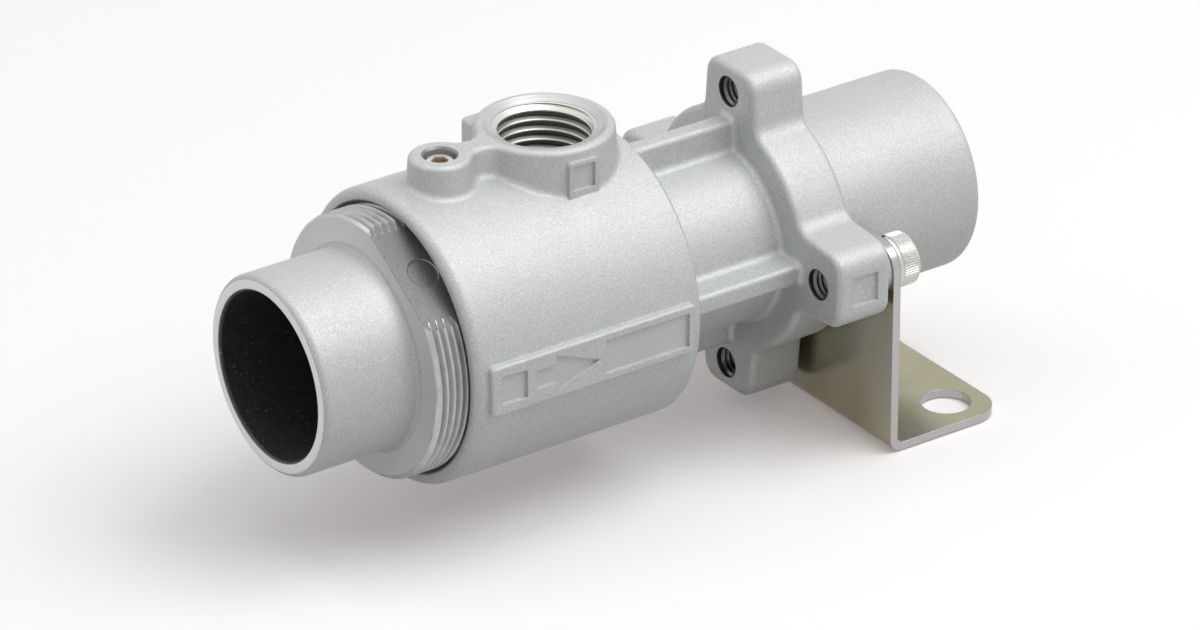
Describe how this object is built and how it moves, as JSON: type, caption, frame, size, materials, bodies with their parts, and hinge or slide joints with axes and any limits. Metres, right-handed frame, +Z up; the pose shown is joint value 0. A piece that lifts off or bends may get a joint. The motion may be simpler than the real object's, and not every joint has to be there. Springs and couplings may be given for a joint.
{
  "type": "vacuum flow unit",
  "caption": "Compressed-air vacuum flow unit: a cast duct with a screwed suction insert, top supply port, lugged flange and folded foot bracket.",
  "frame": {"origin": "centre of the suction port's end face, on the duct axis", "axes": "+X along the duct in the direction of flow, +Z up along the supply port, the foot bracket's sheet lies at the exhaust end below"},
  "size_m": [0.0993, 0.047, 0.0478],
  "materials": {
    "cast_finish": "fine silver paint on cast aluminium, bare where machined",
    "insert_finish": "fine silver paint on cast aluminium, bare threads",
    "seal_rubber": "matt black nitrile rubber",
    "screw_steel": "bright plated steel",
    "washer_steel": "bright plated steel",
    "bracket_zinc": "zinc plate with a yellow-green chromate tint"
  },
  "bodies": {
    "root": {"body_casting": "cast_finish", "suction_insert": "insert_finish", "seal_ring": "seal_rubber", "lock_screw": "screw_steel", "mounting_bracket": "bracket_zinc", "bracket_screw_near": "screw_steel", "bracket_screw_far": "screw_steel", "spring_washer_near": "washer_steel", "spring_washer_far": "washer_steel"}
  },
  "joints": []
}
